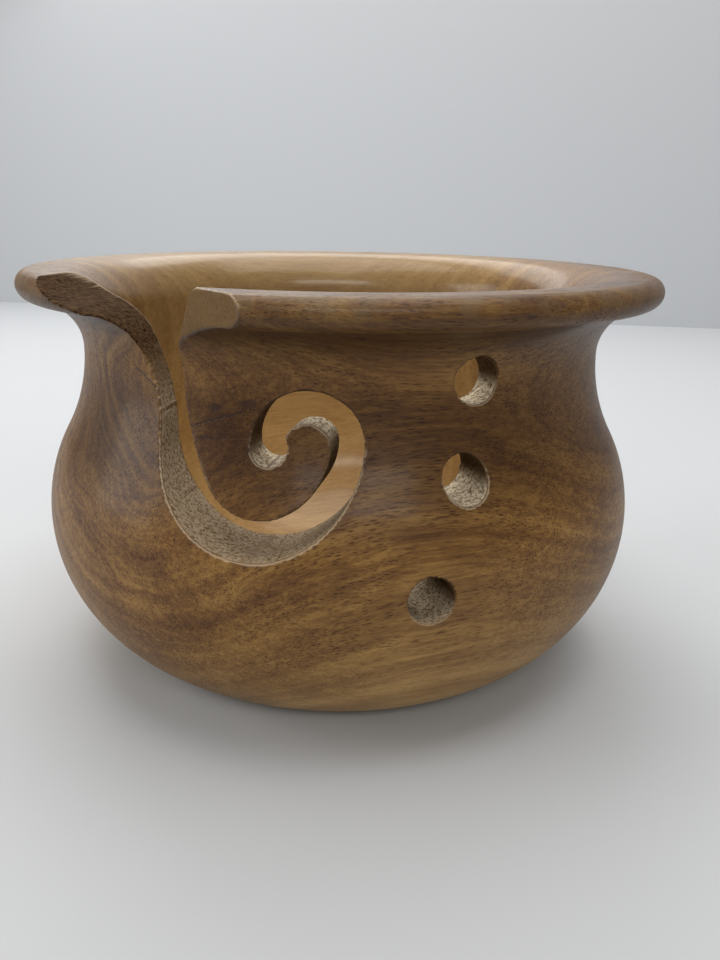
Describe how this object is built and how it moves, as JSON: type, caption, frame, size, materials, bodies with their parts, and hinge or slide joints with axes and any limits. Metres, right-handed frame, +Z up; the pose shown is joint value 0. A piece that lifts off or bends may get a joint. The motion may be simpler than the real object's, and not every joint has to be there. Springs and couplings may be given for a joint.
{
  "type": "yarn bowl",
  "caption": "Turned wooden yarn bowl with a flaring lip, a scroll-shaped yarn guide cut through the wall, and drilled yarn holes.",
  "frame": {"origin": "centre of the flat base, on the surface that the bowl stands on", "axes": "+Z up along the turning axis; the yarn guide is cut along Y through the -Y wall, so -Y is the front, and +X is to the right seen from the front"},
  "size_m": [0.15, 0.15, 0.095],
  "materials": {
    "oiled_wood": "satin oil finish, sawn and drilled faces left rougher and paler"
  },
  "bodies": {
    "root": {"turned_bowl": "oiled_wood"}
  },
  "joints": []
}
